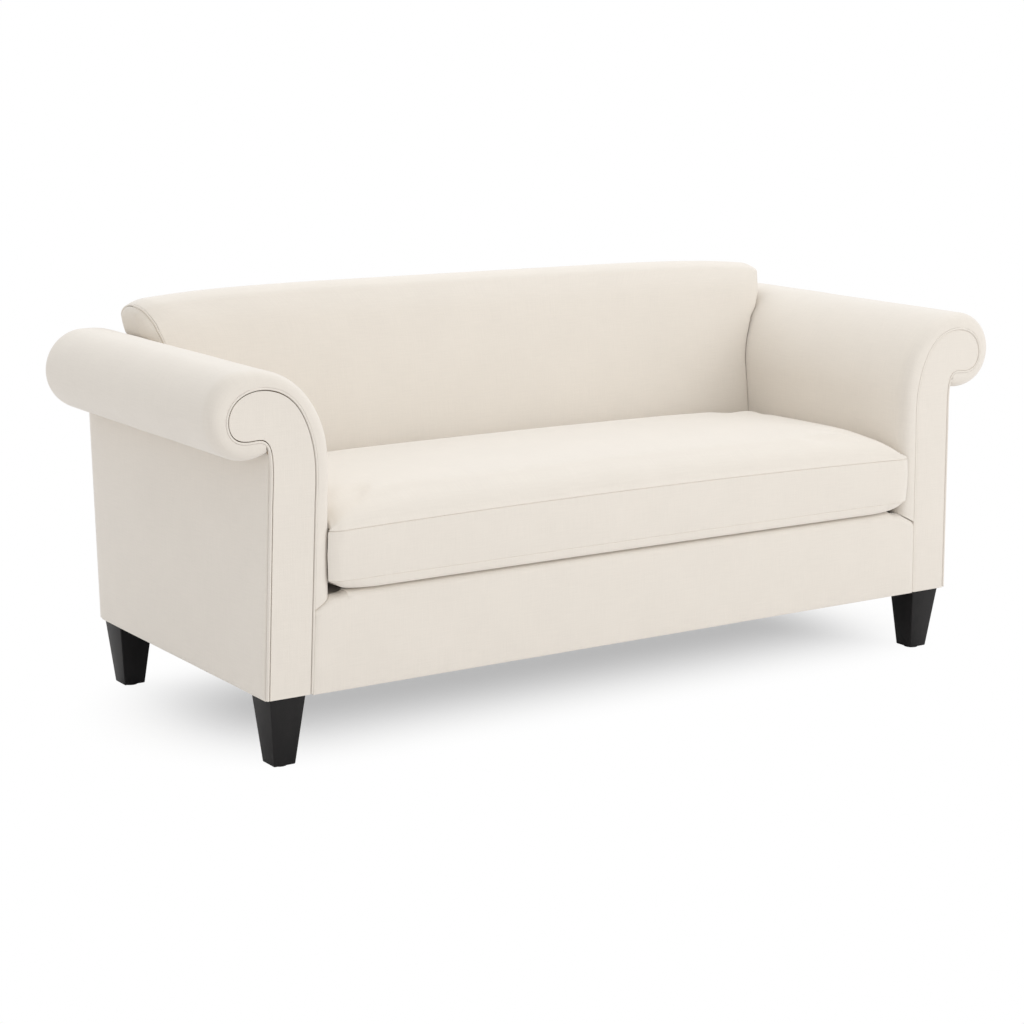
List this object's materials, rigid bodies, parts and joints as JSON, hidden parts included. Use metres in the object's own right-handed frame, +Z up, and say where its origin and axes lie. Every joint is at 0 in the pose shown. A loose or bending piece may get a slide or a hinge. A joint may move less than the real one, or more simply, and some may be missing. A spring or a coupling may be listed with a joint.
{
  "type": "english roll arm sofa",
  "caption": "Roll arm sofa with a tight curved back between two padded scroll arms, one loose bench cushion, a plain front rail and tapered square legs",
  "frame": {"origin": "middle of the footprint, on the floor", "axes": "+X along the sofa to the right of a viewer facing its front, +Y from the front to the back, +Z up"},
  "size_m": [2.174, 0.846, 0.931],
  "materials": {
    "upholstery_fabric": "plain woven linen-cotton cloth, warm off-white, matte",
    "cushion_fabric": "the same cloth, sewn with plain seams",
    "frame_wood": "unfinished hardwood, planed",
    "leg_wood": "black lacquered hardwood, satin",
    "steel": "drawn wire and zinc-plated steel",
    "foam": "open-cell cushion foam with a fibre wrap",
    "dust_cloth": "thin black non-woven cloth",
    "tape": "woven zip tape with a nylon coil",
    "glide_plastic": "moulded black plastic with a nail"
  },
  "bodies": {
    "frame": {"arm_cover_left": "upholstery_fabric", "arm_cover_right": "upholstery_fabric", "arm_front_board_left": "frame_wood", "arm_front_board_right": "frame_wood", "arm_front_facing_left": "upholstery_fabric", "arm_front_facing_right": "upholstery_fabric", "arm_front_piping_left": "upholstery_fabric", "arm_front_piping_right": "upholstery_fabric", "arm_front_post_left": "frame_wood", "arm_front_post_right": "frame_wood", "arm_rear_board_left": "frame_wood", "arm_rear_board_right": "frame_wood", "arm_rear_facing_left": "upholstery_fabric", "arm_rear_facing_right": "upholstery_fabric", "arm_rear_post_left": "frame_wood", "arm_rear_post_right": "frame_wood", "arm_top_rail_left": "frame_wood", "arm_top_rail_right": "frame_wood", "back_centre_post": "frame_wood", "back_end_facing_left": "upholstery_fabric", "back_end_facing_right": "upholstery_fabric", "back_end_piping_left": "upholstery_fabric", "back_end_piping_right": "upholstery_fabric", "back_lower_rail": "frame_wood", "back_post_left": "frame_wood", "back_post_right": "frame_wood", "back_top_rail": "frame_wood", "centre_stretcher": "frame_wood", "corner_block_front_left": "frame_wood", "corner_block_front_right": "frame_wood", "corner_block_rear_left": "frame_wood", "corner_block_rear_right": "frame_wood", "dust_cover": "dust_cloth", "front_rail_cover": "upholstery_fabric", "front_seat_rail": "frame_wood", "glide_front_left": "glide_plastic", "glide_front_right": "glide_plastic", "glide_rear_left": "glide_plastic", "glide_rear_right": "glide_plastic", "inside_back_cover": "upholstery_fabric", "leg_bolt_front_left": "steel", "leg_bolt_front_right": "steel", "leg_bolt_rear_left": "steel", "leg_bolt_rear_right": "steel", "leg_front_left": "leg_wood", "leg_front_right": "leg_wood", "leg_rear_left": "leg_wood", "leg_rear_right": "leg_wood", "outside_arm_panel_left": "upholstery_fabric", "outside_arm_panel_right": "upholstery_fabric", "outside_back_panel": "upholstery_fabric", "rear_seat_rail": "frame_wood", "seat_deck": "upholstery_fabric", "seat_spring_unit": "steel", "side_rail_left": "frame_wood", "side_rail_right": "frame_wood"},
    "seat_cushion": {"seat_cushion_core": "foam", "seat_cushion_cover": "cushion_fabric", "seat_cushion_zip": "tape"}
  },
  "joints": [
    {"name": "seat_cushion_lift", "type": "slide", "parent": "frame", "child": "seat_cushion", "axis": [0, 0, 1], "range_m": [0, 0.6]}
  ]
}
